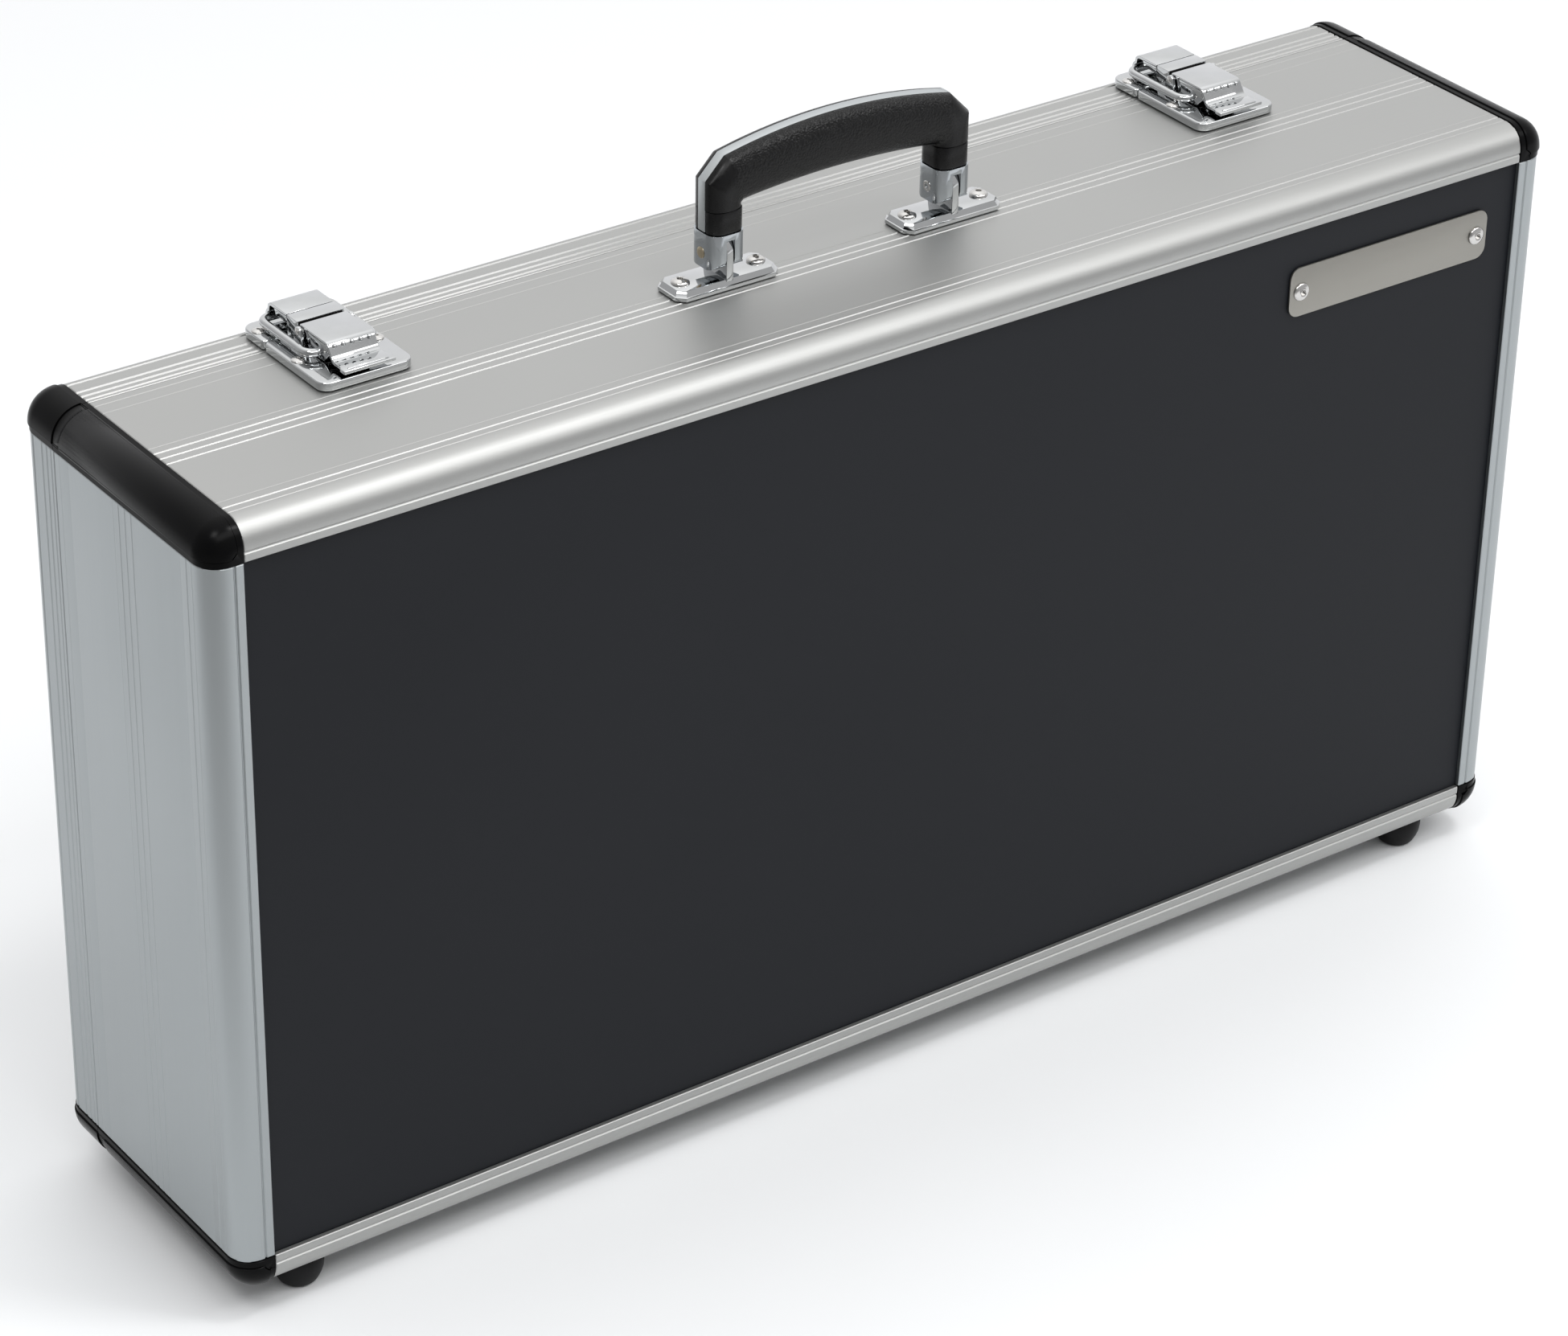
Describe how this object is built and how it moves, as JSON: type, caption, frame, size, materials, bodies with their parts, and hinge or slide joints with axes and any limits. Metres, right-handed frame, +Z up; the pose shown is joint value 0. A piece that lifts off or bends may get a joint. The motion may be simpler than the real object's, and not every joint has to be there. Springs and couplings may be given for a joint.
{
  "type": "aluminium attache case",
  "caption": "Hard attache case of grooved aluminium rails with black corner mouldings, panels, folding handle, toggle latches, hinged lid and rubber feet.",
  "frame": {"origin": "on the floor under the middle of the whole object, standing upright on its rubber feet", "axes": "+X along the width to the right, +Y from the front panel towards the lid, +Z up towards the handle"},
  "size_m": [0.6316, 0.136, 0.4032],
  "materials": {
    "rail_aluminium": "satin anodised, extruded with fine grooves along the rails",
    "corner_plastic": "satin black moulded plastic",
    "panel_laminate": "charcoal laminate with a very fine grain",
    "foam": "dark open-cell foam lining",
    "badge_aluminium": "blank brushed plate",
    "chrome": "bright polished",
    "satin_chrome": "satin cast and plated",
    "steel": "plain nickel-plated steel",
    "brass": "dull pin head",
    "rubber": "matte black rubber",
    "grip_leather": "black grained leather, smooth on the legs",
    "strip_aluminium": "bright satin metal strip let into the grip"
  },
  "bodies": {
    "base": {"base_rail_left": "rail_aluminium", "base_rail_top": "rail_aluminium", "base_rail_right": "rail_aluminium", "base_rail_bottom": "rail_aluminium", "base_corner_bottom_left": "corner_plastic", "base_corner_top_left": "corner_plastic", "base_corner_top_right": "corner_plastic", "base_corner_bottom_right": "corner_plastic", "front_panel": "panel_laminate", "base_foam_pad": "foam", "badge_plate": "badge_aluminium", "badge_rivet_left": "steel", "badge_rivet_right": "steel", "foot_front_left": "rubber", "foot_front_right": "rubber", "foot_back_left": "rubber", "foot_back_right": "rubber", "handle_plate_left": "chrome", "handle_plate_right": "chrome", "handle_rivet_left_outer": "steel", "handle_rivet_left_inner": "steel", "handle_rivet_right_outer": "steel", "handle_rivet_right_inner": "steel", "latch_base_left": "chrome", "latch_base_right": "chrome", "latch_pin_left": "steel", "latch_pin_right": "steel", "hinge_base_leaf_left": "steel", "hinge_base_leaf_right": "steel", "hinge_pin_left": "steel", "hinge_pin_right": "steel"},
    "lid": {"lid_rail_left": "rail_aluminium", "lid_rail_top": "rail_aluminium", "lid_rail_right": "rail_aluminium", "lid_rail_bottom": "rail_aluminium", "lid_corner_bottom_left": "corner_plastic", "lid_corner_top_left": "corner_plastic", "lid_corner_top_right": "corner_plastic", "lid_corner_bottom_right": "corner_plastic", "back_panel": "panel_laminate", "lid_foam_pad": "foam", "latch_keeper_left": "chrome", "latch_keeper_right": "chrome", "hinge_lid_leaf_left": "steel", "hinge_lid_leaf_right": "steel"},
    "handle": {"handle_grip": "grip_leather", "handle_strip": "strip_aluminium", "handle_socket_left": "satin_chrome", "handle_socket_right": "satin_chrome", "handle_pin_left": "brass", "handle_pin_right": "steel"},
    "lever_left": {"latch_lever_left": "chrome"},
    "lever_right": {"latch_lever_right": "chrome"},
    "bail_left": {"latch_bail_left": "chrome", "latch_claw_left": "chrome"},
    "bail_right": {"latch_bail_right": "chrome", "latch_claw_right": "chrome"}
  },
  "joints": [
    {"name": "lid_hinge", "type": "hinge", "parent": "base", "child": "lid", "pos_m": [0, 0.0426, 0.011], "axis": [-1, 0, 0], "range_deg": [0, 88]},
    {"name": "handle_fold", "type": "hinge", "parent": "base", "child": "handle", "pos_m": [0, -0.002, 0.3585], "axis": [1, 0, 0], "range_deg": [-90, 90]},
    {"name": "lever_left_lift", "type": "hinge", "parent": "base", "child": "lever_left", "pos_m": [-0.2067, 0.0316, 0.3546], "axis": [-1, 0, 0], "range_deg": [0, 95]},
    {"name": "lever_right_lift", "type": "hinge", "parent": "base", "child": "lever_right", "pos_m": [0.2067, 0.0316, 0.3546], "axis": [-1, 0, 0], "range_deg": [0, 95]},
    {"name": "bail_left_swing", "type": "hinge", "parent": "lever_left", "child": "bail_left", "pos_m": [-0.2067, 0.0195, 0.351], "axis": [-1, 0, 0], "range_deg": [-75, 0]},
    {"name": "bail_right_swing", "type": "hinge", "parent": "lever_right", "child": "bail_right", "pos_m": [0.2067, 0.0195, 0.351], "axis": [-1, 0, 0], "range_deg": [-75, 0]}
  ],
  "couplings": [
    {"joint": "bail_left_swing", "follows": "lever_left_lift", "ratio": -0.77},
    {"joint": "bail_right_swing", "follows": "lever_right_lift", "ratio": -0.77}
  ]
}
